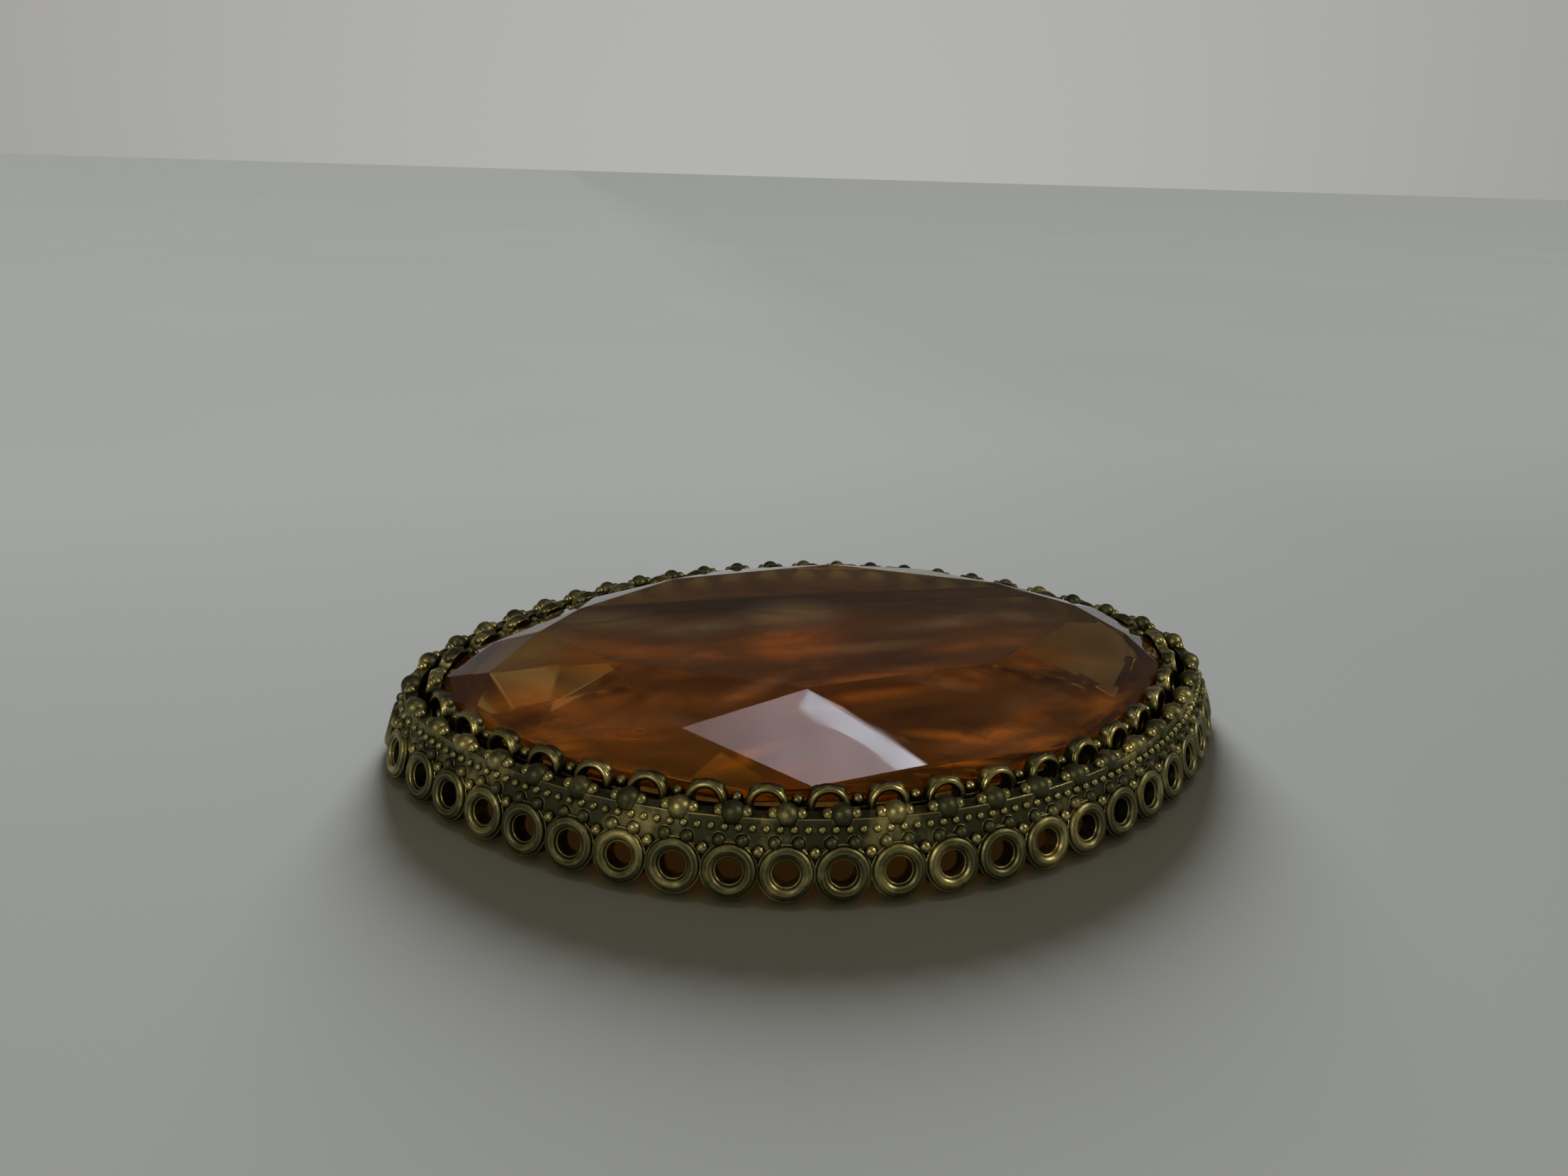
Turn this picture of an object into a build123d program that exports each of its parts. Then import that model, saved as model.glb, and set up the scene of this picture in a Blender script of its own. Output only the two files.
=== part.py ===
from build123d import *
from collections import namedtuple
from math import atan2, cos, degrees, radians, sin, sqrt, tan
import os

# Oval brooch: a large faceted glass stone in a low openwork brass setting, lying on its back.
# Long axis along X, width along Y, Z up through the stone. The ring row's foot is at Z = 0.
# Every oval is the stone's girdle line or an offset of it. An offset is given outwards.

# Glass stone
stone_length = 40.0
stone_width = 27.0
stone_end_radius = 5.5
crown_height = 2.4
crown_facet_width = 5.0       # girdle to the table's corners, seen from above
girdle_height = 0.7
pavilion_depth = 2.2          # girdle to the point of the back
pavilion_break_width = 2.2
pavilion_break_angle = 34.0

# Kite facets of half the crown: where each touches the girdle, as a share of the girdle's length,
# and how far down from the table the star facet after it reaches
Kite = namedtuple("Kite", "place star_reach")
half_kites = [
    Kite(0, 0.5),
    Kite(0.09, 0.42),
    Kite(0.219, 0.75),
    Kite(0.344, 0.5),
    Kite(0.43, 0.5),
]

# Seat of the stone
stone_clearance = 0.1
bearing_reach = 0.5           # ledge under the stone's edge
bearing_height = 0.4

# Flange round the open back
flange_clear_height = 1.7
flange_thickness = 0.5

# Collet and its crown of loops
collet_wall = 0.6
loop_count = 40
loop_rise = 0.35              # loop tips above the top of the girdle
loop_lean = 18.0              # towards the stone, from upright
loop_diameter = 1.9
loop_thickness = 0.55
loop_wire = 0.36
knob_diameter = 0.66          # two small knobs on each loop
knob_angle = 38.0             # from the loop's top

# Outer band, its bead row and the ring row at its foot
groove_width = 0.65
band_wall = 0.6
band_height = 2.25
band_flare = 0.75
bead_diameter = 1.1
ring_count = 48
ring_diameter = 2.5
ring_thickness = 0.85
ring_wire = 0.66
stud_diameter = 0.62          # two studs above each ring
stud_spread = 0.5             # from the ring's middle line
stud_rise = 1.3               # above the rings' middles

# Pin, one plain piece under the flange
pin_line = 7.5                # how far the stem lies from the long axis
pin_clearance = 0.1
foot_diameter = 2.2
foot_thickness = 0.5
stem_diameter = 0.9
stem_drop = 0.85              # from the feet's tops to the stem's middle
knuckle_diameter = 1.3
knuckle_length = 2.2
hook_wall = 0.25
hook_length = 1.1
hook_mouth = 0.5
tip_length = 0.7              # stem beyond the hook's middle

# The girdle line, a quarter at a time: an end arc and a side arc that meet in line
OvalArc = namedtuple("OvalArc", "centre_x centre_y radius start sweep")
half_length = stone_length / 2
half_width = stone_width / 2
end_centre = half_length - stone_end_radius
side_radius = (end_centre**2 + half_width**2 - stone_end_radius**2) / 2 / (half_width - stone_end_radius)
side_centre = side_radius - half_width
join_angle = degrees(atan2(side_centre, end_centre))
quarter_arcs = [
    OvalArc(end_centre, 0, stone_end_radius, 0, join_angle),
    OvalArc(0, -side_centre, side_radius, join_angle, 90 - join_angle),
]
quarter_length = sum(radians(arc.sweep) * arc.radius for arc in quarter_arcs)
Spot = namedtuple("Spot", "point outward along")


def spot(share, offset=0, level=0):
    """Place out from the girdle line at a share of its length, counted from the +X end."""
    quarter, part = divmod(share % 1 * 4, 1)
    side_x = 1 if quarter in (0, 3) else -1
    side_y = 1 if quarter in (0, 1) else -1
    run = quarter_length * (part if quarter in (0, 2) else 1 - part)
    for arc in quarter_arcs:
        length = radians(arc.sweep) * arc.radius
        if run <= length:
            break
        run -= length
    angle = radians(arc.start) + min(run, length) / arc.radius
    outward = Vector(cos(angle) * side_x, sin(angle) * side_y, 0)
    centre = Vector(arc.centre_x * side_x, arc.centre_y * side_y, level)
    return Spot(centre + outward * (arc.radius + offset), outward, Vector(-outward.Y, outward.X, 0))


def leaning_plane(share, offset, level, lean):
    """Plane along the oval that faces outwards, leaning back by an angle from upright."""
    place = spot(share, offset, level)
    facing = place.outward * cos(radians(lean)) + Vector(0, 0, sin(radians(lean)))
    return Plane(origin=place.point, x_dir=place.along, z_dir=facing)


def turned(corners):
    """Carry an outline of (offset, level) corners round a quarter: a turn about each arc's own axis."""
    stretches = []
    for arc in quarter_arcs:
        axis = Axis((arc.centre_x, arc.centre_y, 0), (0, 0, 1))
        start = radians(arc.start)
        section = Plane(axis.position, (cos(start), sin(start), 0), (sin(start), -cos(start), 0))
        outline = Polyline(*[(arc.radius + offset, level) for offset, level in corners], close=True)
        stretches.append(revolve(section * make_face(outline), axis, arc.sweep))
    return stretches[0].fuse(*stretches[1:])


def whole(quarter):
    """Trim a quarter at both long planes and mirror it into the whole."""
    right = split(quarter, bisect_by=Plane.YZ, keep=Keep.TOP)
    kept = split(right, bisect_by=Plane.XZ, keep=Keep.BOTTOM)
    half = kept.fuse(kept.mirror(Plane.YZ))
    return half.fuse(half.mirror(Plane.XZ))


def facet_plane(a, b, c, inside):
    """Plane through three points, facing away from an inside point."""
    facing = (b - a).cross(c - a).normalized()
    if facing.dot(a - inside) < 0:
        facing = facing * -1
    return Plane(origin=a, z_dir=facing)


# Shares of the girdle's length where the kite facets touch it, and the points midway
kite_shares = [turn + kite.place for turn in (0, 0.5) for kite in half_kites]
star_reaches = [kite.star_reach for kite in half_kites] * 2
next_shares = kite_shares[1:] + [1]
midway_shares = [(share + following) / 2 for share, following in zip(kite_shares, next_shares)]
break_shares = sorted(kite_shares + midway_shares)


def underside_fall(place):
    """How far the back's outer facets have fallen below the girdle at a place inside it."""
    insets = []
    for share in break_shares:
        touch = spot(share)
        insets.append(touch.outward.dot(touch.point - place.point))
    return min(insets) * tan(radians(pavilion_break_angle))


# Levels, from the surface up
bearing_level = flange_clear_height + flange_thickness + bearing_height
seat_samples = 96
seat_fall = max(underside_fall(spot(k / seat_samples, -bearing_reach)) for k in range(seat_samples))
girdle_bottom = bearing_level + stone_clearance + seat_fall
girdle_top = girdle_bottom + girdle_height
table_level = girdle_top + crown_height
culet_level = girdle_bottom - pavilion_depth


def glass_stone():
    """The stone is cut as a lapidary cuts it: an oval slab, then one plane for each facet."""
    arcs = []
    for arc in quarter_arcs:
        arcs.append(CenterArc((arc.centre_x, arc.centre_y), arc.radius, arc.start, arc.sweep))
    arcs += [mirror(arc, about=Plane.YZ) for arc in arcs]
    arcs += [mirror(arc, about=Plane.XZ) for arc in arcs]
    slab = extrude(Pos(0, 0, culet_level) * make_face(arcs), table_level - culet_level)
    inside = Vector(0, 0, girdle_bottom)
    kites = [spot(share, 0, girdle_top) for share in kite_shares]
    midways = [spot(share, 0, girdle_top) for share in midway_shares]
    tops = [kite.point - kite.outward * crown_facet_width + Vector(0, 0, crown_height) for kite in kites]
    planes = []
    for k in range(len(kites)):
        following = (k + 1) % len(kites)
        apex = star_apex(kites[k], kites[following], star_reaches[k])
        planes.append(facet_plane(kites[k].point, tops[k], kites[k].point + kites[k].along, inside))
        planes.append(facet_plane(apex, tops[k], tops[following], inside))
        planes.append(facet_plane(apex, kites[k].point, midways[k].point, inside))
        planes.append(facet_plane(apex, midways[k].point, kites[following].point, inside))
    culet = Vector(0, 0, culet_level)
    fall = Vector(0, 0, -tan(radians(pavilion_break_angle)))
    for share in break_shares:
        touch = spot(share, 0, girdle_bottom)
        lower = touch.point - touch.outward + fall
        planes.append(facet_plane(touch.point, touch.point + touch.along, lower, inside))
    for kite in kites:
        edge = kite.point - Vector(0, 0, girdle_height)
        lower = edge + (fall - kite.outward) * pavilion_break_width
        planes.append(facet_plane(culet, lower, lower + kite.along, inside))
    stone = slab
    for plane in planes:
        stone = split(stone, bisect_by=plane, keep=Keep.BOTTOM)
    return stone


def star_apex(first, second, star_reach):
    """Point where two kite facets and a star facet meet, a share of the way down the crown."""
    inset = crown_facet_width * (1 - star_reach)
    a = first.outward
    b = second.outward
    reach_a = a.dot(first.point) - inset
    reach_b = b.dot(second.point) - inset
    area = a.X * b.Y - a.Y * b.X
    x = (reach_a * b.Y - reach_b * a.Y) / area
    y = (a.X * reach_b - b.X * reach_a) / area
    return Vector(x, y, girdle_top + crown_height * (1 - star_reach))


# Collet, groove and band, as offsets of the girdle line
collet_inside = stone_clearance
collet_outside = collet_inside + collet_wall
band_slope = degrees(atan2(band_height, band_flare))
band_half = band_wall / 2 / sin(radians(band_slope))
rim_offset = collet_outside + groove_width + band_half
ring_offset = rim_offset + band_flare
ring_radius = ring_diameter / 2
ring_lean = 90 - band_slope
ring_level = ring_radius * cos(radians(ring_lean)) + ring_thickness / 2 * sin(radians(ring_lean))
rim_level = ring_level + band_height
stud_level = ring_level + stud_rise
loop_gap = stone_clearance + loop_thickness / 2
loop_radius = loop_diameter / 2
loop_level = girdle_top + loop_rise - loop_radius * cos(radians(loop_lean))
loop_offset = (
    loop_gap * cos(radians(loop_lean))
    + (girdle_top + loop_gap * sin(radians(loop_lean)) - loop_level) * tan(radians(loop_lean))
)


def band_offset(level):
    """Middle of the band's wall at a level."""
    return ring_offset - (level - ring_level) * band_flare / band_height


def setting():
    """Collet, flange and band as one turned body, with the loops, beads and rings soldered on."""
    flange_top = flange_clear_height + flange_thickness
    body = turned([
        (-bearing_reach, flange_clear_height),
        (band_offset(flange_clear_height) - band_half, flange_clear_height),
        (band_offset(ring_level) - band_half, ring_level),
        (band_offset(ring_level) + band_half, ring_level),
        (rim_offset + band_half, rim_level),
        (rim_offset - band_half, rim_level),
        (band_offset(flange_top) - band_half, flange_top),
        (collet_outside, flange_top),
        (collet_outside, loop_level),
        (collet_inside, loop_level),
        (collet_inside, bearing_level),
        (-bearing_reach, bearing_level),
    ])
    groove = turned([
        (collet_outside, flange_top),
        (rim_offset - band_half, flange_top),
        (rim_offset - band_half, rim_level),
        (collet_outside, rim_level),
    ])
    added = []
    bored = []
    for k in range(loop_count // 4 + 1):
        plane = leaning_plane(k / loop_count, loop_offset, loop_level, loop_lean)
        added.append(plane * Cylinder(loop_radius, loop_thickness))
        for side in (-1, 1):
            knob_place = Rot(0, 0, 90 + side * knob_angle) * Pos(loop_radius - loop_wire / 2, 0, 0)
            added.append(plane * knob_place * Sphere(knob_diameter / 2))
        bore = Pos(0, 0, -loop_thickness / 2) * Cylinder(loop_radius - loop_wire, 2 * collet_wall)
        bored.append(plane * bore)
    body = body.fuse(*added).cut(groove)
    rings = []
    for k in range(ring_count // 4 + 1):
        plane = leaning_plane(k / ring_count, ring_offset, ring_level, ring_lean)
        rings.append(plane * Cylinder(ring_radius, ring_thickness))
        bored.append(plane * Cylinder(ring_radius - ring_wire, 2 * ring_thickness))
        rings.append(Pos(*spot(k / ring_count, rim_offset, rim_level).point) * Sphere(bead_diameter / 2))
        place = spot(k / ring_count, band_offset(stud_level) + band_half, stud_level)
        for side in (-1, 1):
            stud_point = place.point + place.along * side * stud_spread
            rings.append(Pos(*stud_point) * Sphere(stud_diameter / 2))
    body = body.fuse(*rings)
    return whole(body.cut(*bored))


def brooch_pin():
    """Hinge knuckle, stem and hook in one plain piece, a round foot at each end under the flange."""
    foot_top = flange_clear_height - pin_clearance
    foot_offset = (band_offset(flange_clear_height) - band_half - bearing_reach) / 2
    foot_x = sqrt((side_radius + foot_offset)**2 - (side_centre + pin_line)**2)
    stem_level = foot_top - stem_drop
    along = Rot(0, 90, 0)
    foot = Cylinder(foot_diameter / 2, foot_thickness)
    foot_level = foot_top - foot_thickness / 2
    knuckle = Rot(90, 0, 0) * Cylinder(knuckle_diameter / 2, knuckle_length)
    stem_length = 2 * foot_x + tip_length
    stem = Pos(tip_length / 2, pin_line, stem_level) * along * Cylinder(stem_diameter / 2, stem_length)
    hook = along * Cylinder(stem_diameter / 2 + hook_wall, hook_length)
    mouth = Pos(0, -stem_diameter / 2, 0) * Box(hook_length, stem_diameter, hook_mouth)
    pin = stem.fuse(
        Pos(-foot_x, pin_line, foot_level) * foot,
        Pos(foot_x, pin_line, foot_level) * foot,
        Pos(-foot_x, pin_line, stem_level) * knuckle,
        Pos(foot_x, pin_line, stem_level) * hook.cut(mouth),
    )
    return pin


os.makedirs("parts", exist_ok=True)
for name, make in [("glass_stone", glass_stone), ("setting", setting), ("brooch_pin", brooch_pin)]:
    export_step(make(), f"parts/{name}.step")
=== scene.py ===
import math
from collections import namedtuple
import bmesh
import bpy
import numpy as np
from mathutils import Matrix, Vector


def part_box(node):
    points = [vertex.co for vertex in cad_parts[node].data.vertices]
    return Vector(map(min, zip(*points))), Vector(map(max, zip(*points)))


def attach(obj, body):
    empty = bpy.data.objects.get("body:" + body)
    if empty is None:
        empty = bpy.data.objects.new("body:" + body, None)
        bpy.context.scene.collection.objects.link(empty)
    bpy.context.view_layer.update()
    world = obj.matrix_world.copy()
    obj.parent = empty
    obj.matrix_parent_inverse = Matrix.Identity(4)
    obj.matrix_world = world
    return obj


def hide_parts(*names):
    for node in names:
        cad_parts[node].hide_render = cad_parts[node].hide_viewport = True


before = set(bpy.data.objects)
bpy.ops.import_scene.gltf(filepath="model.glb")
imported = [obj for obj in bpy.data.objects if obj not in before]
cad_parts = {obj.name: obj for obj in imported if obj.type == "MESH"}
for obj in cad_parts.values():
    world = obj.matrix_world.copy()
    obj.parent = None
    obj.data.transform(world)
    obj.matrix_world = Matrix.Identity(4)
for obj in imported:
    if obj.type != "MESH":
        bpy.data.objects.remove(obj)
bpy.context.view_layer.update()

# The setting: a low oval gallery of cast brass, antiqued dark and rubbed bright on its high spots.
# Collet, flange, flared band, loops, beads, studs and rings are soldered up into one piece.
# It is the CAD's own solid, with an aged brass that is dark in the hollows and bright at the edges.

MM = 0.001
RUBBED_EDGE = 0.09 * MM
HOLLOW_REACH = 1.1 * MM
GRAIN_DEPTH = 0.05 * MM
EDGE_WEAR = 4.0
PATCH_WEAR = 0.55
WORN_GLOSS = 0.5
GRAIN_DULLNESS = 0.12
HOLLOW_DARKNESS = 0.3


def add_node(tree, kind, links=None, **values):
    """Put a node in a material: `links` join its inputs to other nodes' outputs or hold plain
    values, and `values` set the rest."""
    node = tree.nodes.new(kind)
    for name, value in values.items():
        setattr(node, name, value)
    for socket, source in (links or {}).items():
        if isinstance(source, bpy.types.NodeSocket):
            tree.links.new(source, node.inputs[socket])
        else:
            node.inputs[socket].default_value = source
    return node


def new_material(name):
    """An empty node material, with its tree, its output node and the piece's own coordinates."""
    material = bpy.data.materials.new(name)
    material.use_nodes = True
    tree = material.node_tree
    tree.nodes.clear()
    output = tree.nodes.new("ShaderNodeOutputMaterial")
    return material, tree, output, add_node(tree, "ShaderNodeTexCoord").outputs["Object"]


def noise(tree, place, scale, detail, roughness=0.5, distortion=0.0):
    """Soft clouds over a place, as a value between 0 and 1."""
    inputs = {
        "Vector": place, "Scale": scale, "Detail": detail,
        "Roughness": roughness, "Distortion": distortion,
    }
    return add_node(tree, "ShaderNodeTexNoise", inputs).outputs["Fac"]


def colour_ramp(tree, source, stops):
    """A colour ramp over `source`, its stops given as (position, colour)."""
    node = add_node(tree, "ShaderNodeValToRGB", {"Fac": source})
    ramp = node.color_ramp
    for element, (position, colour) in zip(ramp.elements, stops):
        element.position = position
        element.color = (*colour, 1)
    return node.outputs["Color"]


def grey(level):
    """A grey of one level, for ramps that carry a mask."""
    return (level, level, level)


def arithmetic(tree, operation, first, second):
    """A sum, difference, product or larger of two values, kept between 0 and 1."""
    return add_node(
        tree, "ShaderNodeMath", {0: first, 1: second}, operation=operation, use_clamp=True
    ).outputs[0]


def blend_colours(tree, share, first, second):
    """The first colour where `share` is 0 and the second where it is 1."""
    node = add_node(tree, "ShaderNodeMix", {0: share, 6: first, 7: second}, data_type="RGBA")
    return node.outputs[2]


def brass(name, dark, bright, roughness, wear_level):
    """Brass under a dark finish that wear has rubbed through on edges, high spots and odd patches.
    Wear = (patches + edges + its own level) x openness, and the bright brass shows by that share."""
    material, tree, output, place = new_material(name)
    surface = add_node(tree, "ShaderNodeNewGeometry").outputs["True Normal"]
    rounded = add_node(tree, "ShaderNodeBevel", {"Radius": RUBBED_EDGE}, samples=4).outputs["Normal"]
    facing = add_node(
        tree, "ShaderNodeVectorMath", {0: surface, 1: rounded}, operation="DOT_PRODUCT"
    ).outputs["Value"]
    edge = arithmetic(tree, "MULTIPLY", arithmetic(tree, "SUBTRACT", 1.0, facing), EDGE_WEAR)
    openness = add_node(
        tree, "ShaderNodeAmbientOcclusion", {"Distance": HOLLOW_REACH}, samples=4
    ).outputs["AO"]
    openness = colour_ramp(tree, openness, [(0.25, grey(0.0)), (0.85, grey(1.0))])
    patches = noise(tree, place, scale=420.0, detail=5.0, roughness=0.6)
    patches = colour_ramp(tree, patches, [(0.50, grey(0.0)), (0.70, grey(1.0))])
    wear = arithmetic(tree, "MULTIPLY", patches, PATCH_WEAR)
    wear = arithmetic(tree, "ADD", wear, edge)
    wear = arithmetic(tree, "ADD", wear, wear_level)
    wear = arithmetic(tree, "MULTIPLY", wear, openness)
    warmer = (dark[0] * 1.7, dark[1] * 1.45, dark[2] * 1.1, 1)
    blackened = (*[HOLLOW_DARKNESS * part for part in dark], 1)
    tint = noise(tree, place, scale=160.0, detail=3.0)
    finish = blend_colours(tree, tint, (*dark, 1), warmer)
    finish = blend_colours(tree, openness, blackened, finish)
    colour = blend_colours(tree, wear, finish, (*bright, 1))
    grain = noise(tree, place, scale=3800.0, detail=4.0, roughness=0.65)
    pits = add_node(
        tree, "ShaderNodeTexVoronoi", {"Vector": place, "Scale": 1500.0}
    ).outputs["Distance"]
    height = arithmetic(tree, "MULTIPLY", grain, pits)
    relief = add_node(
        tree,
        "ShaderNodeBump",
        {"Height": height, "Strength": 0.55, "Distance": GRAIN_DEPTH, "Normal": rounded},
    )
    polish = arithmetic(tree, "MULTIPLY", wear, roughness * WORN_GLOSS)
    dull = arithmetic(tree, "SUBTRACT", roughness, polish)
    gloss = arithmetic(tree, "ADD", dull, arithmetic(tree, "MULTIPLY", grain, GRAIN_DULLNESS))
    shader = add_node(
        tree,
        "ShaderNodeBsdfPrincipled",
        {
            "Base Color": colour, "Roughness": gloss,
            "Normal": relief.outputs["Normal"], "Metallic": 1.0,
        },
    )
    tree.links.new(shader.outputs[0], output.inputs["Surface"])
    return material


aged_brass = brass(
    "aged_brass",
    dark=(0.051, 0.059, 0.036),
    bright=(0.83, 0.71, 0.29),
    roughness=0.42,
    wear_level=0.0,
)
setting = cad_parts["setting"]
setting.data.materials.clear()
setting.data.materials.append(aged_brass)


# Raised mouldings on the gallery's loops and rings: each is cast half round on its outer face,
# and the half-round is what catches the light. They are shallow brass welts laid on the flat faces,
# and the loops' are rubbed brighter than the rings'.

HALF_LENGTH = 20.0 * MM
HALF_WIDTH = 13.5 * MM
END_RADIUS = 5.5 * MM
END_CENTRE = HALF_LENGTH - END_RADIUS
SIDE_RADIUS = (END_CENTRE**2 + HALF_WIDTH**2 - END_RADIUS**2) / (2 * (HALF_WIDTH - END_RADIUS))
SIDE_CENTRE = SIDE_RADIUS - HALF_WIDTH
JOIN_ANGLE = math.atan2(SIDE_CENTRE, END_CENTRE)
END_RUN = JOIN_ANGLE * END_RADIUS
QUARTER_RUN = END_RUN + (math.pi / 2 - JOIN_ANGLE) * SIDE_RADIUS
CROWN_HEIGHT = 2.4 * MM
GIRDLE_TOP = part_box("glass_stone")[1].z - CROWN_HEIGHT
SEAT_GAP = 0.1 * MM


def girdle_places(shares, offset, level):
    """Points out from the girdle line at shares of its length from the +X end, with the outward
    and along directions there. The line is two end arcs and two side arcs, and a share is turned
    into an angle on its arc by dividing the run by the arc's radius."""
    shares = np.asarray(shares, float) % 1.0
    quarter, part = np.divmod(shares * 4, 1)
    side_x = np.where((quarter == 0) | (quarter == 3), 1.0, -1.0)
    side_y = np.where(quarter < 2, 1.0, -1.0)
    run = QUARTER_RUN * np.where(quarter % 2 == 0, part, 1 - part)
    on_end = run <= END_RUN
    angle = np.where(on_end, run / END_RADIUS, JOIN_ANGLE + (run - END_RUN) / SIDE_RADIUS)
    radius = np.where(on_end, END_RADIUS, SIDE_RADIUS) + offset
    flat = np.zeros(len(shares))
    outward = np.stack([np.cos(angle) * side_x, np.sin(angle) * side_y, flat], -1)
    centre_x = np.where(on_end, END_CENTRE, 0.0) * side_x
    centre_y = np.where(on_end, 0.0, -SIDE_CENTRE) * side_y
    centre = np.stack([centre_x, centre_y, np.full(len(shares), level)], -1)
    along = np.stack([-outward[:, 1], outward[:, 0], flat], -1)
    return centre + outward * radius[:, None], outward, along


def mesh_object(name, points, faces, material, smooth=True):
    """Make a mesh object from an array of points and a list of faces, with its material."""
    mesh = bpy.data.meshes.new(name)
    mesh.from_pydata(points.reshape(-1, 3).tolist(), [], faces)
    mesh.materials.append(material)
    mesh.polygons.foreach_set("use_smooth", np.full(len(mesh.polygons), smooth))
    obj = bpy.data.objects.new(name, mesh)
    bpy.context.scene.collection.objects.link(obj)
    return obj


def grid_faces(rows, columns, copies=1, closed=False):
    """Four-sided faces of grids of rows by columns points, one grid for each copy. A closed grid
    joins its last row and column to its first ones, as on a ring."""
    margin = 0 if closed else 1
    i, j = np.meshgrid(np.arange(rows - margin), np.arange(columns - margin), indexing="ij")
    row, next_row = i * columns, ((i + 1) % rows) * columns
    next_j = (j + 1) % columns
    grid = np.stack([row + j, next_row + j, next_row + next_j, row + next_j], -1)
    starts = np.arange(copies) * rows * columns
    return (grid.reshape(1, -1, 4) + starts[:, None, None]).reshape(-1, 4).tolist()


def face_welts(name, material, places, lean, face_height, middle_radius, half_width, rise):
    """A half-round welt on every loop or ring. In the leaning plane of each one the welt's middle
    line is a circle, and its section is an ellipse: middle radius + half width x cos v across,
    rise x sin v out of the face, for u once round the circle and v once round the section."""
    centre, outward, along = places
    facing = outward * math.cos(lean) + np.array([0, 0, math.sin(lean)])
    upward = np.cross(facing, along)
    u = np.linspace(0, 2 * np.pi, 28, endpoint=False)
    v = np.linspace(0, 2 * np.pi, 8, endpoint=False)
    uu, vv = np.meshgrid(u, v, indexing="ij")
    radius = middle_radius + half_width * np.cos(vv)
    height = face_height + rise * np.sin(vv)
    points = (
        centre[:, None, None, :]
        + (radius * np.cos(uu))[None, :, :, None] * along[:, None, None, :]
        + (radius * np.sin(uu))[None, :, :, None] * upward[:, None, None, :]
        + height[None, :, :, None] * facing[:, None, None, :]
    )
    faces = grid_faces(len(u), len(v), copies=len(centre), closed=True)
    welts = mesh_object(name, points, faces, material)
    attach(welts, "root")


rubbed_brass = brass(
    "rubbed_brass",
    dark=(0.074, 0.076, 0.042),
    bright=(0.88, 0.75, 0.30),
    roughness=0.30,
    wear_level=0.16,
)

LOOP_COUNT = 40
LOOP_RADIUS = 0.95 * MM
LOOP_WIRE = 0.36 * MM
LOOP_RISE = 0.35 * MM
LOOP_HALF_THICKNESS = 0.275 * MM
LOOP_LEAN = math.radians(18)
LOOP_GAP = SEAT_GAP + LOOP_HALF_THICKNESS
LOOP_LEVEL = GIRDLE_TOP + LOOP_RISE - LOOP_RADIUS * math.cos(LOOP_LEAN)
LOOP_OFFSET = LOOP_GAP * math.cos(LOOP_LEAN) + (
    GIRDLE_TOP + LOOP_GAP * math.sin(LOOP_LEAN) - LOOP_LEVEL
) * math.tan(LOOP_LEAN)
face_welts(
    "loop_welts",
    rubbed_brass,
    girdle_places(np.arange(LOOP_COUNT) / LOOP_COUNT, LOOP_OFFSET, LOOP_LEVEL),
    LOOP_LEAN,
    face_height=LOOP_HALF_THICKNESS,
    middle_radius=LOOP_RADIUS - LOOP_WIRE / 2,
    half_width=0.17 * MM,
    rise=0.14 * MM,
)

RING_COUNT = 48
RING_RADIUS = 1.25 * MM
RING_WIRE = 0.66 * MM
RING_HALF_THICKNESS = 0.425 * MM
BAND_HEIGHT = 2.25 * MM
BAND_FLARE = 0.75 * MM
BAND_START = 1.35 * MM
RING_LEAN = math.atan2(BAND_FLARE, BAND_HEIGHT)
BAND_HALF = 0.3 * MM / math.cos(RING_LEAN)
RIM_OFFSET = BAND_START + BAND_HALF
RING_OFFSET = RIM_OFFSET + BAND_FLARE
RING_LEVEL = RING_RADIUS * math.cos(RING_LEAN) + RING_HALF_THICKNESS * math.sin(RING_LEAN)
RIM_LEVEL = RING_LEVEL + BAND_HEIGHT
face_welts(
    "ring_welts",
    aged_brass,
    girdle_places(np.arange(RING_COUNT) / RING_COUNT, RING_OFFSET, RING_LEVEL),
    RING_LEAN,
    face_height=RING_HALF_THICKNESS,
    middle_radius=RING_RADIUS - RING_WIRE / 2,
    half_width=0.27 * MM,
    rise=0.2 * MM,
)


# Granulation: rows of small brass grains soldered along the band and the collet's top edge.
# They fill the spaces between the beads, studs and loops, and each carries a point of light.

GrainRow = namedtuple("GrainRow", "count offset level diameter")
FINE_LEVEL = RIM_LEVEL - 0.42 * MM
MIDDLE_LEVEL = RING_LEVEL + 0.9 * MM


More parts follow.
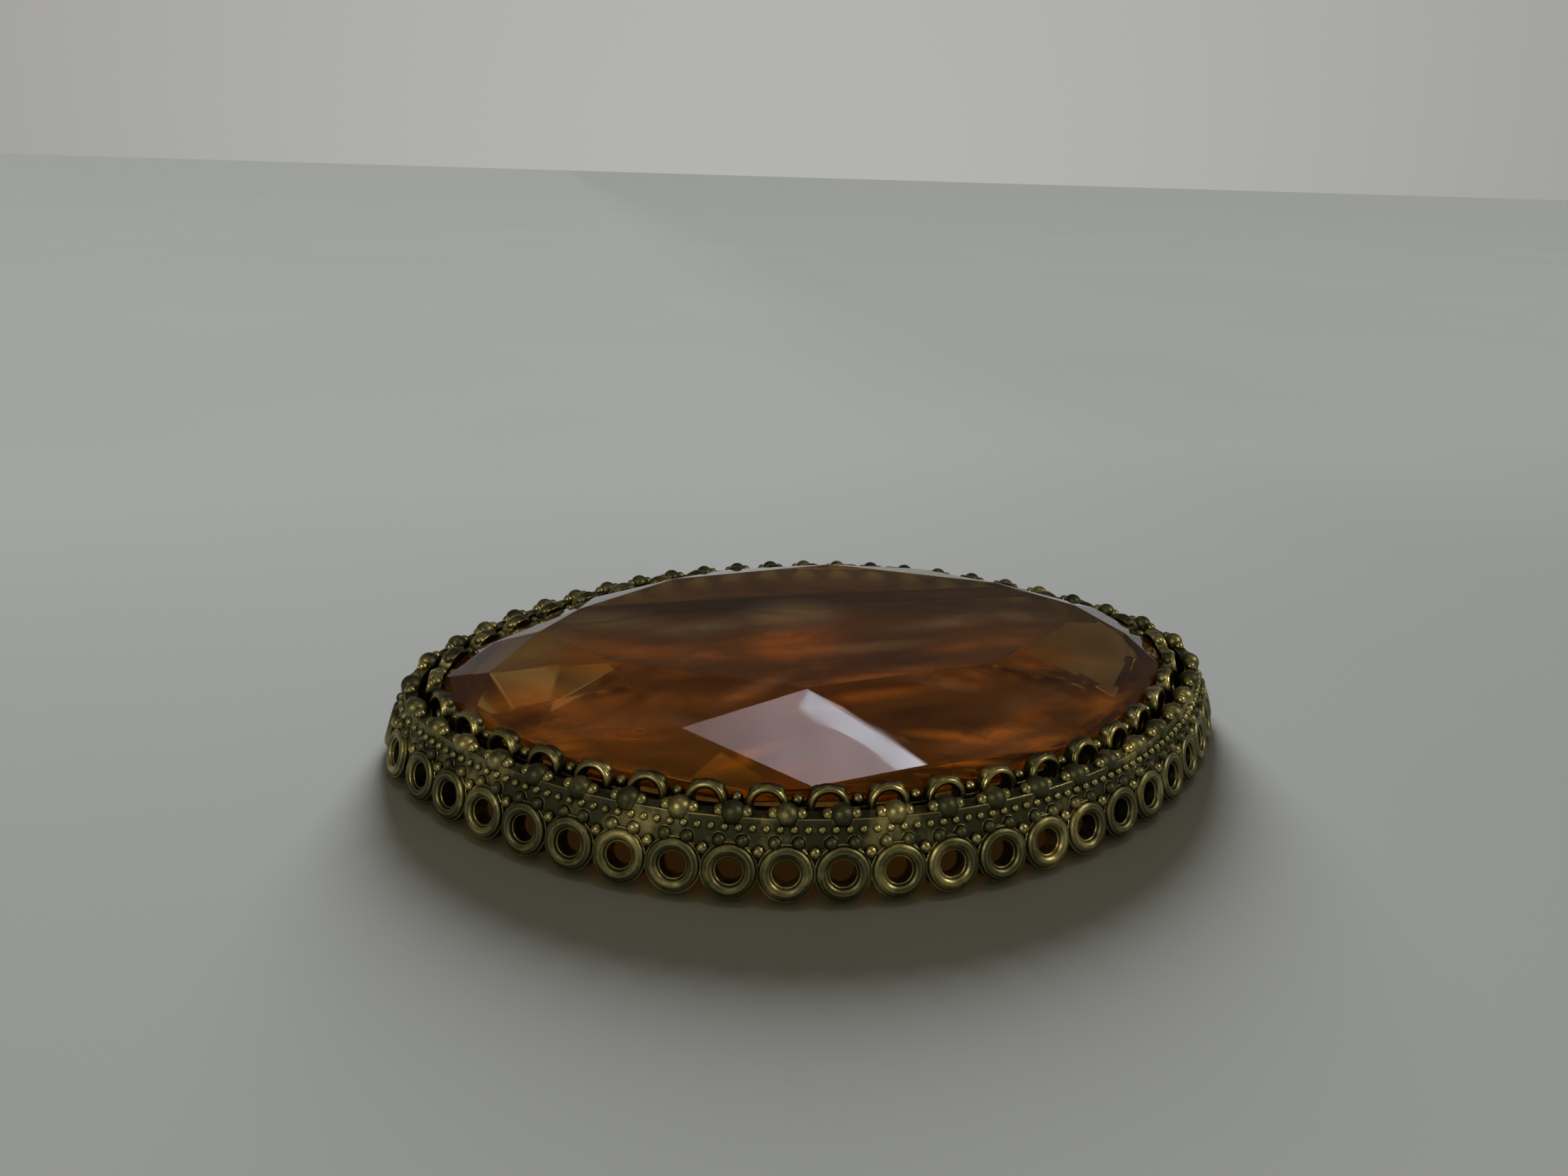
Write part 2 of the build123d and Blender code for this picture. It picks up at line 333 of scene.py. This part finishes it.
def grain_rows(name, rows):
    """Small round grains in rows along the oval, half a step round from the beads and loops. Each
    grain is a ball: radius x (cos a cos b, sin a cos b, sin b), with a once round and b from pole to
    pole, each pole one point."""
    centres = [
        girdle_places((np.arange(row.count) + 0.5) / row.count, row.offset, row.level)[0]
        for row in rows
    ]
    centres = np.concatenate(centres)
    sizes = np.concatenate([np.full(row.count, row.diameter / 2) for row in rows])
    a = np.linspace(0, 2 * np.pi, 8, endpoint=False)
    b = np.linspace(-np.pi / 2, np.pi / 2, 6)[1:-1]
    aa, bb = np.meshgrid(a, b, indexing="xy")
    ball = np.stack([np.cos(aa) * np.cos(bb), np.sin(aa) * np.cos(bb), np.sin(bb)], -1)
    ball = np.concatenate([ball.reshape(-1, 3), [[0, 0, -1], [0, 0, 1]]])
    points = centres[:, None, :] + ball[None] * sizes[:, None, None]
    around, up = len(a), len(b)
    i, j = np.meshgrid(np.arange(up - 1) * around, np.arange(around), indexing="ij")
    next_j = (j + 1) % around
    sides = np.stack([i + j, i + next_j, i + around + next_j, i + around + j], -1).reshape(-1, 4)
    j = np.arange(around)
    next_j = (j + 1) % around
    top = (up - 1) * around
    south_pole = np.full(around, up * around)
    south = np.stack([south_pole, next_j, j], -1)
    north = np.stack([south_pole + 1, top + j, top + next_j], -1)
    faces = []
    for start in np.arange(len(centres)) * len(ball):
        for part in (sides, south, north):
            faces += (part + start).tolist()
    grains = mesh_object(name, points, faces, rubbed_brass)
    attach(grains, "root")


def band_outside(level):
    """Offset of the flared band's outer face at a level."""
    return RING_OFFSET - (level - RING_LEVEL) * BAND_FLARE / BAND_HEIGHT + BAND_HALF


grain_rows("band_grains", [
    GrainRow(192, band_outside(FINE_LEVEL), FINE_LEVEL, 0.40 * MM),
    GrainRow(48, band_outside(MIDDLE_LEVEL), MIDDLE_LEVEL, 0.62 * MM),
    GrainRow(96, RIM_OFFSET, RIM_LEVEL + 0.05 * MM, 0.62 * MM),
])
grain_rows("collet_grains", [
    GrainRow(LOOP_COUNT, 0.42 * MM, LOOP_LEVEL + 0.2 * MM, 0.6 * MM),
])


# The stone: one oval of amber glass, ground and polished into ten kites with stars between them.
# It drops into the collet and the leaning loops keep it there. Wear has softened its edges. Its
# colour carries painted light: lighter orange streaks are painted reflections and darker brown ones
# painted shade.

# Streaks: the middle, half length and half width are in mm, the turn in degrees.
Streak = namedtuple("Streak", "x y half_length half_width turn strength")
# Painted reflections: lighter orange streaks where the stone's inner facets would mirror light back
# out.
painted_reflection_streaks = [
    Streak(-1.5, 0.5, 3.2, 2.3, 8, 1.0),
    Streak(-6.5, -0.6, 3.2, 1.2, 10, 0.6),
    Streak(-11.5, 1.0, 3.6, 1.5, -12, 0.55),
    Streak(6.8, -1.6, 4.5, 0.9, 14, 0.6),
    Streak(11.0, -1.2, 3.0, 1.1, -15, 0.5),
    Streak(-15.5, -1.5, 2.6, 2.2, 20, 0.6),
    Streak(1.5, -4.2, 4.2, 0.7, 5, 0.7),
    Streak(-10.2, -9.0, 4.4, 1.2, -30, 1.0),
    Streak(-14.0, -5.2, 2.6, 1.0, -35, 0.8),
    Streak(6.4, -11.6, 3.4, 1.0, 14, 1.0),
    Streak(8.6, -9.0, 3.6, 0.7, 20, 0.8),
    Streak(4.4, -8.2, 2.4, 0.5, -14, 1.0),
    Streak(-5.4, -8.0, 2.4, 0.6, 20, 0.8),
    Streak(13.5, -5.6, 3.0, 1.0, 30, 0.8),
]
# Painted shade: darker brown streaks where the shaded floor, the pin and the setting's far wall would
# show dark through the glass.
painted_shade_streaks = [
    Streak(-3.5, 5.8, 9.5, 1.7, 3, 0.9),
    Streak(9.0, 4.2, 7.0, 1.6, -10, 0.9),
    Streak(4.2, -2.6, 4.0, 0.9, 6, 0.8),
    Streak(-6.5, 2.6, 4.4, 0.9, 12, 0.6),
    Streak(-13.5, -3.6, 3.2, 1.0, -24, 0.8),
    Streak(9.0, 1.2, 4.4, 0.7, -8, 0.7),
    Streak(10.5, -7.0, 3.4, 0.6, 24, 0.8),
    Streak(-10.5, -9.0, 3.0, 0.5, -24, 0.7),
    Streak(14.8, -3.6, 2.4, 1.5, 32, 0.7),
    Streak(11.8, -2.4, 2.6, 0.9, -8, 0.5),
]
GIRDLE_BOTTOM = GIRDLE_TOP - 0.7 * MM
BACK_HAZE = 0.12
PAINTED_GLOW_BEHIND = 0.90
PAINTED_GLOW_IN_FRONT = 0.12
SHADOW_LIGHT = 0.4


def fade(tree, value, start, end, first, last, curve="LINEAR"):
    """A value that goes from `first` to `last` while another one goes from start to end."""
    inputs = {"Value": value, "From Min": start, "From Max": end, "To Min": first, "To Max": last}
    return add_node(tree, "ShaderNodeMapRange", inputs, interpolation_type=curve).outputs[0]


def streak_cover(tree, place, streaks):
    """Where a table of streaks lies: each is a soft ellipse, full in the middle and fading smoothly
    to nothing at 1.3 times its half length and half width, and the largest of them all counts."""
    total = None
    for streak in streaks:
        local = add_node(
            tree,
            "ShaderNodeMapping",
            {
                "Vector": place,
                "Location": (streak.x * MM, streak.y * MM, 0.0),
                "Rotation": (0.0, 0.0, math.radians(streak.turn)),
                "Scale": (streak.half_length * MM, streak.half_width * MM, 1.0),
            },
            vector_type="TEXTURE",
        ).outputs[0]
        away = add_node(
            tree, "ShaderNodeVectorMath", {0: local}, operation="LENGTH"
        ).outputs["Value"]
        cover = fade(tree, away, 0.0, 1.3, streak.strength, 0.0, curve="SMOOTHSTEP")
        total = cover if total is None else arithmetic(tree, "MAXIMUM", total, cover)
    return total


def drawn_out(tree, place, share):
    """The place with its length along the stone cut to a share, so that a pattern is drawn out."""
    inputs = {"Vector": place, "Scale": (share, 1.0, 1.0)}
    return add_node(tree, "ShaderNodeMapping", inputs).outputs[0]


amber_glass, tree, output, place = new_material("amber_glass")
height = add_node(tree, "ShaderNodeSeparateXYZ", {0: place}).outputs["Z"]
behind = arithmetic(tree, "LESS_THAN", height, GIRDLE_BOTTOM + 0.02 * MM)
drawn = drawn_out(tree, place, 0.4)
wisps = noise(tree, drawn, scale=420.0, detail=5.0, roughness=0.6, distortion=1.4)
strands = colour_ramp(tree, wisps, [(0.34, grey(0.35)), (0.56, grey(1.0))])
painted_reflection_cover = arithmetic(tree, "MULTIPLY", streak_cover(tree, place, painted_reflection_streaks), strands)
clouds = noise(tree, drawn, scale=260.0, detail=4.0)
banks = colour_ramp(tree, clouds, [(0.38, grey(0.3)), (0.62, grey(1.0))])
painted_shade_cover = arithmetic(tree, "MULTIPLY", streak_cover(tree, place, painted_shade_streaks), banks)

# The tint carries the painted light: orange where the painted reflections lie and dark brown where
# the painted shade lies, on the back and on the crown.
back_tint = colour_ramp(tree, clouds, [(0.3, (0.45, 0.26, 0.05)), (0.7, (0.69, 0.39, 0.08))])
back_tint = blend_colours(tree, painted_reflection_cover, back_tint, (1.0, 0.50, 0.08, 1))
back_tint = blend_colours(tree, painted_shade_cover, back_tint, (0.12, 0.065, 0.03, 1))
front_tint = colour_ramp(tree, clouds, [(0.3, (0.61, 0.50, 0.30)), (0.7, (0.85, 0.75, 0.50))])
front_tint = blend_colours(tree, painted_reflection_cover, front_tint, (1.0, 0.62, 0.18, 1))
front_tint = blend_colours(tree, painted_shade_cover, front_tint, (0.22, 0.15, 0.09, 1))
tint = blend_colours(tree, behind, front_tint, back_tint)

# Painted reflection: the orange streaks also make part of the back a diffuse surface that the lamps
# light orange, over a slight even haze. The painted shade shuts that share.
haze_and_painted_glow_behind = arithmetic(tree, "MULTIPLY", painted_reflection_cover, PAINTED_GLOW_BEHIND)
haze_and_painted_glow_behind = arithmetic(tree, "ADD", haze_and_painted_glow_behind, BACK_HAZE)
not_dark = arithmetic(tree, "SUBTRACT", 1.0, painted_shade_cover)
haze_and_painted_glow_behind = arithmetic(tree, "MULTIPLY", haze_and_painted_glow_behind, not_dark)
painted_glow_in_front = arithmetic(tree, "MULTIPLY", painted_reflection_cover, PAINTED_GLOW_IN_FRONT)
haze_and_painted_glow = add_node(
    tree, "ShaderNodeMix", {0: behind, 2: painted_glow_in_front, 3: haze_and_painted_glow_behind}, data_type="FLOAT"
).outputs[0]
clear = arithmetic(tree, "SUBTRACT", 1.0, haze_and_painted_glow)

rubs = noise(tree, place, scale=500.0, detail=2.0)
gloss = colour_ramp(tree, rubs, [(0.35, grey(0.012)), (0.75, grey(0.05))])
ripple = noise(tree, place, scale=110.0, detail=2.0)
ripples = add_node(
    tree, "ShaderNodeBump", {"Height": ripple, "Strength": 0.10, "Distance": 0.2 * MM}
)
glass = add_node(
    tree,
    "ShaderNodeBsdfPrincipled",
    {
        "Base Color": tint,
        "Roughness": gloss,
        "Normal": ripples.outputs["Normal"],
        "IOR": 1.52,
        "Transmission Weight": clear,
    },
)
let_through = blend_colours(tree, SHADOW_LIGHT, (0.0, 0.0, 0.0, 1), tint)
passing = add_node(tree, "ShaderNodeBsdfTransparent", {"Color": let_through})
shadow_ray = add_node(tree, "ShaderNodeLightPath").outputs["Is Shadow Ray"]
body = add_node(
    tree, "ShaderNodeMixShader", {0: shadow_ray, 1: glass.outputs[0], 2: passing.outputs[0]}
)
depth = add_node(
    tree, "ShaderNodeVolumeAbsorption", {"Color": (0.90, 0.66, 0.05, 1), "Density": 140.0}
)
tree.links.new(body.outputs[0], output.inputs["Surface"])
tree.links.new(depth.outputs[0], output.inputs["Volume"])

stone_mesh = bmesh.new()
stone_mesh.from_mesh(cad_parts["glass_stone"].data)
bmesh.ops.remove_doubles(stone_mesh, verts=stone_mesh.verts, dist=0.004 * MM)
bmesh.ops.dissolve_limit(
    stone_mesh, angle_limit=math.radians(0.6), verts=stone_mesh.verts, edges=stone_mesh.edges
)
stone_data = bpy.data.meshes.new("stone")
stone_mesh.to_mesh(stone_data)
stone_mesh.free()
stone_data.materials.append(amber_glass)
stone = bpy.data.objects.new("stone", stone_data)
bpy.context.scene.collection.objects.link(stone)
worn_edges = stone.modifiers.new("worn_edges", "BEVEL")
worn_edges.width = 0.07 * MM
worn_edges.segments = 2
worn_edges.limit_method = "ANGLE"
worn_edges.angle_limit = math.radians(3.5)
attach(stone, "root")
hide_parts("glass_stone")


# Veils in the glass: thin curved sheets inside the stone that carry painted light. Orange ones hang
# near the crown as painted reflections, and brown ones lower down as painted shade.

VEIL_HALF_LENGTH = 18.2 * MM
VEIL_HALF_WIDTH = 12.2 * MM
RIM_FADE = 6.0


def painted_light_veil(name, level, bow, colour, noise_scale, thinnest, streaks):
    """A bowed sheet across the inside of the stone. Height = level + bow x (1 - e), with
    e = (x / half length)² + (y / half width)². Its cover is the largest of its streaks, each a soft
    ellipse exp(-(s / half length)² - (t / half width)²), broken up by noise and faded at the rim.
    """
    gx, gy = np.meshgrid(np.linspace(-1, 1, 181), np.linspace(-1, 1, 121), indexing="ij")
    x = gx * VEIL_HALF_LENGTH * np.sqrt(1 - gy**2 / 2)
    y = gy * VEIL_HALF_WIDTH * np.sqrt(1 - gx**2 / 2)
    inside = 1 - ((x / VEIL_HALF_LENGTH) ** 2 + (y / VEIL_HALF_WIDTH) ** 2)
    cover = np.full(x.shape, thinnest)
    for streak in streaks:
        turn = math.radians(streak.turn)
        dx = x / MM - streak.x
        dy = y / MM - streak.y
        along = (dx * math.cos(turn) + dy * math.sin(turn)) / streak.half_length
        aside = (dy * math.cos(turn) - dx * math.sin(turn)) / streak.half_width
        cover = np.maximum(cover, streak.strength * np.exp(-(along**2) - aside**2))
    cover *= np.clip(inside * RIM_FADE, 0, 1)
    points = np.stack([x, y, level + bow * inside], -1)

    material, tree, output, place = new_material(name)
    wisps = noise(
        tree, drawn_out(tree, place, 0.35), noise_scale, detail=5.0, roughness=0.6, distortion=1.2
    )
    strands = colour_ramp(tree, wisps, [(0.38, grey(0.0)), (0.62, grey(1.0))])
    amount = add_node(tree, "ShaderNodeAttribute", attribute_name="cover").outputs["Fac"]
    darker = (0.5 * colour[0], 0.4 * colour[1], 0.4 * colour[2], 1)
    shader = add_node(
        tree,
        "ShaderNodeBsdfPrincipled",
        {
            "Base Color": blend_colours(tree, wisps, darker, (*colour, 1)),
            "Roughness": 0.8,
            "Alpha": arithmetic(tree, "MULTIPLY", amount, strands),
            "Specular IOR Level": 0.0,
        },
    )
    tree.links.new(shader.outputs[0], output.inputs["Surface"])
    sheet = mesh_object(name, points, grid_faces(*x.shape), material)
    attribute = sheet.data.attributes.new("cover", "FLOAT", "POINT")
    attribute.data.foreach_set("value", cover.ravel().astype(np.float32))
    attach(sheet, "root")


# Painted reflection: a lit orange sheet where the stone's facets would mirror light inside it.
painted_light_veil(
    "painted_reflection_veil",
    level=3.75 * MM,
    bow=1.2 * MM,
    colour=(1.0, 0.41, 0.05),
    noise_scale=330.0,
    thinnest=0.02,
    streaks=[
        Streak(-2.0, -2.0, 2.9, 1.7, 8, 0.75),
        Streak(-4.9, -6.4, 2.2, 0.6, 20, 0.8),
        Streak(0.4, -6.8, 2.8, 0.6, 2, 0.8),
        Streak(4.6, -6.4, 1.8, 0.5, -16, 1.0),
        Streak(6.2, -10.6, 3.2, 0.8, 18, 1.0),
        Streak(9.4, -8.6, 3.2, 0.7, 24, 0.9),
        Streak(8.4, -5.6, 3.6, 0.5, 14, 0.6),
        Streak(-11.0, -8.4, 4.2, 1.3, -32, 0.9),
        Streak(-8.6, -6.4, 4.0, 0.8, -14, 0.6),
        Streak(-14.6, -4.4, 3.0, 0.9, -38, 0.7),
        Streak(-8.0, -2.0, 4.8, 0.9, 8, 0.4),
        Streak(9.5, -1.6, 4.0, 0.7, -10, 0.4),
    ],
)
# Painted shade: a dark brown sheet where the stone looks dark from shade seen through it.
painted_light_veil(
    "painted_shade_veil",
    level=2.9 * MM,
    bow=0.8 * MM,
    colour=(0.10, 0.034, 0.012),
    noise_scale=260.0,
    thinnest=0.08,
    streaks=[
        Streak(3.2, -3.4, 4.5, 0.7, 4, 0.8),
        Streak(8.4, -7.4, 4.6, 0.7, 22, 0.8),
        Streak(-6.4, 0.4, 6.0, 0.9, 6, 0.6),
        Streak(-12.0, -6.2, 3.6, 0.7, -26, 0.8),
        Streak(7.5, 1.5, 6.5, 0.9, -8, 0.6),
        Streak(0.5, 6.4, 9.0, 1.6, -2, 0.7),
    ],
)


# The pin behind: a drawn brass wire between a hinge knuckle and a hook, each on a round foot under
# the flange. It is the CAD's own piece, in a duller and less worn brass than the front.

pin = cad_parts["brooch_pin"]
pin.data.materials.clear()
pin.data.materials.append(brass(
    "pin_brass",
    dark=(0.16, 0.125, 0.06),
    bright=(0.62, 0.50, 0.26),
    roughness=0.42,
    wear_level=0.30,
))


# The floor it lies on: plain pale card, very wide, a little mottled. Painted shade darkens its
# colour towards the camera and towards the right, as a light from behind would fall off.

FLOOR_REACH = 30.0
FLOOR_CELLS = 8
floor_material, tree, output, place = new_material("pale_floor")
mottle = noise(tree, place, scale=14.0, detail=4.0)
paper = colour_ramp(tree, mottle, [(0.3, (0.525, 0.555, 0.56)), (0.7, (0.545, 0.575, 0.58))])
sides = add_node(tree, "ShaderNodeSeparateXYZ", {0: place})
# Painted shade: the card's colour is dimmed towards the camera and towards the right.
nearer = fade(tree, sides.outputs["Y"], -0.03, 0.06, 0.78, 1.03)
righter = fade(tree, sides.outputs["X"], 0.0, 0.06, 1.0, 0.90)
painted_falloff = arithmetic(tree, "MULTIPLY", nearer, righter)
paper = blend_colours(tree, painted_falloff, (0.0, 0.0, 0.0, 1), paper)
shader = add_node(
    tree,
    "ShaderNodeBsdfPrincipled",
    {"Base Color": paper, "Roughness": 0.7, "Specular IOR Level": 0.2},
)
tree.links.new(shader.outputs[0], output.inputs["Surface"])
reach = np.linspace(-FLOOR_REACH, FLOOR_REACH, FLOOR_CELLS + 1)
fx, fy = np.meshgrid(reach, reach, indexing="ij")
cells = grid_faces(FLOOR_CELLS + 1, FLOOR_CELLS + 1)
floor = mesh_object("floor", np.stack([fx, fy, np.zeros(fx.shape)], -1), cells, floor_material)


# The light: a soft box high up that the kite facet at the front mirrors, with a brighter strip along
# one side, a broad soft light from behind, and two small lamps in front for the glints on the brass.


def soft_box(name, corners, radiance):
    """A glowing flat sheet through its corners, hidden from the camera itself. It is dimmer towards
    the left and a little uneven."""
    material, tree, output, place = new_material(name)
    aside = add_node(tree, "ShaderNodeSeparateXYZ", {0: place}).outputs["X"]
    slope = fade(tree, aside, -0.05, 0.22, 0.32, 1.0)
    uneven = fade(tree, noise(tree, place, scale=9.0, detail=2.0), 0.3, 0.7, 0.7, 1.0)
    level = arithmetic(tree, "MULTIPLY", slope, uneven)
    glow = add_node(tree, "ShaderNodeEmission", {"Color": (*radiance, 1), "Strength": level})
    tree.links.new(glow.outputs[0], output.inputs["Surface"])
    one_face = [list(range(len(corners)))]
    sheet = mesh_object(name, np.array(corners), one_face, material, smooth=False)
    sheet.visible_camera = False


soft_box(
    "window",
    [
        (-0.075, 0.195, 1.0), (0.100, 0.200, 1.0), (0.235, 0.075, 1.0),
        (0.125, 0.055, 1.0), (-0.005, 0.095, 1.0),
    ],
    (6.4, 5.3, 5.6),
)
soft_box(
    "window_edge",
    [(0.094, 0.172, 0.99), (0.106, 0.186, 0.99), (0.222, 0.082, 0.99), (0.208, 0.068, 0.99)],
    (12.0, 12.6, 14.0),
)

key = bpy.data.lights.new("key", "SUN")
key.energy = 4.7
key.angle = math.radians(30)
key_light = bpy.data.objects.new("key", key)
bpy.context.scene.collection.objects.link(key_light)
key_light.rotation_euler = Vector((0.15, 0.92, 0.37)).to_track_quat("Z", "Y").to_euler()
key_light.visible_glossy = False
key_light.visible_transmission = False


def small_lamp(name, place, power, colour):
    """A small square lamp turned to the brooch, which only the gloss of the metal and glass shows."""
    lamp = bpy.data.lights.new(name, "AREA")
    lamp.size = 0.05
    lamp.energy = power
    lamp.color = colour
    light = bpy.data.objects.new(name, lamp)
    bpy.context.scene.collection.objects.link(light)
    facing = (-Vector(place)).to_track_quat("-Z", "Y").to_matrix().to_4x4()
    light.matrix_world = Matrix.Translation(place) @ facing
    light.visible_camera = False
    light.visible_diffuse = False


small_lamp("left_glint", (-0.35, -0.45, 0.40), 0.85, (1.0, 0.95, 0.85))
small_lamp("right_glint", (0.50, -0.20, 0.42), 1.00, (1.0, 0.94, 0.82))


# The room: dim all round, a little warmer in front than at the back, with a low pale band at the
# back that shows as the light line along the stone's far facets.

BACK_DIRECTION = (0.18, 0.98, 0.0)
world = bpy.data.worlds.new("room")
world.use_nodes = True
tree = world.node_tree
tree.nodes.clear()
direction = add_node(tree, "ShaderNodeTexCoord").outputs["Generated"]
height = add_node(tree, "ShaderNodeSeparateXYZ", {0: direction}).outputs["Z"]
low_band = fade(tree, height, 0.16, 0.24, 1.0, 0.0)
towards_back = add_node(
    tree, "ShaderNodeVectorMath", {0: direction, 1: BACK_DIRECTION}, operation="DOT_PRODUCT"
).outputs["Value"]
glow = arithmetic(tree, "MULTIPLY", low_band, fade(tree, towards_back, 0.6, 1.0, 0.18, 0.40))
back_half = fade(tree, towards_back, -0.4, 0.4, 0.0, 1.0)
room = blend_colours(tree, back_half, (0.120, 0.100, 0.040, 1), (0.098, 0.092, 0.080, 1))
room = blend_colours(tree, glow, room, (1.0, 1.0, 1.0, 1))
sky = add_node(tree, "ShaderNodeBackground", {"Color": room, "Strength": 1.0})
tree.links.new(sky.outputs[0], tree.nodes.new("ShaderNodeOutputWorld").inputs["Surface"])
bpy.context.scene.world = world
bpy.context.scene.view_settings.view_transform = "Standard"


# The camera: close to the brooch, in front of its long side and a little to the left, looking down
# at 21 degrees. Its lens is given in pixels of a picture 2212 pixels wide.

IMAGE_WIDTH = 2212
FOCAL_PIXELS = 1500.0
YAW, PITCH, ROLL = math.radians(-11.47), math.radians(21.18), math.radians(1.73)
DISTANCE, ASIDE, BELOW = 60.68 * MM, 1.801 * MM, -7.475 * MM

look = Matrix.Rotation(YAW, 3, "Z") @ Vector((0, math.cos(PITCH), -math.sin(PITCH)))
level_right = Matrix.Rotation(YAW, 3, "Z") @ Vector((1, 0, 0))
level_up = level_right.cross(look)
right = level_right * math.cos(ROLL) + level_up * math.sin(ROLL)
up = level_up * math.cos(ROLL) - level_right * math.sin(ROLL)
eye = -right * ASIDE - up * BELOW - look * DISTANCE
camera_data = bpy.data.cameras.new("camera")
camera_data.sensor_width = 36.0
camera_data.lens = FOCAL_PIXELS / IMAGE_WIDTH * camera_data.sensor_width
camera_data.clip_start = 0.001
camera_data.clip_end = 100.0
camera = bpy.data.objects.new("camera", camera_data)
bpy.context.scene.collection.objects.link(camera)
turn = Matrix((right, up, -look)).transposed().to_4x4()
camera.matrix_world = Matrix.Translation(eye) @ turn
bpy.context.scene.camera = camera
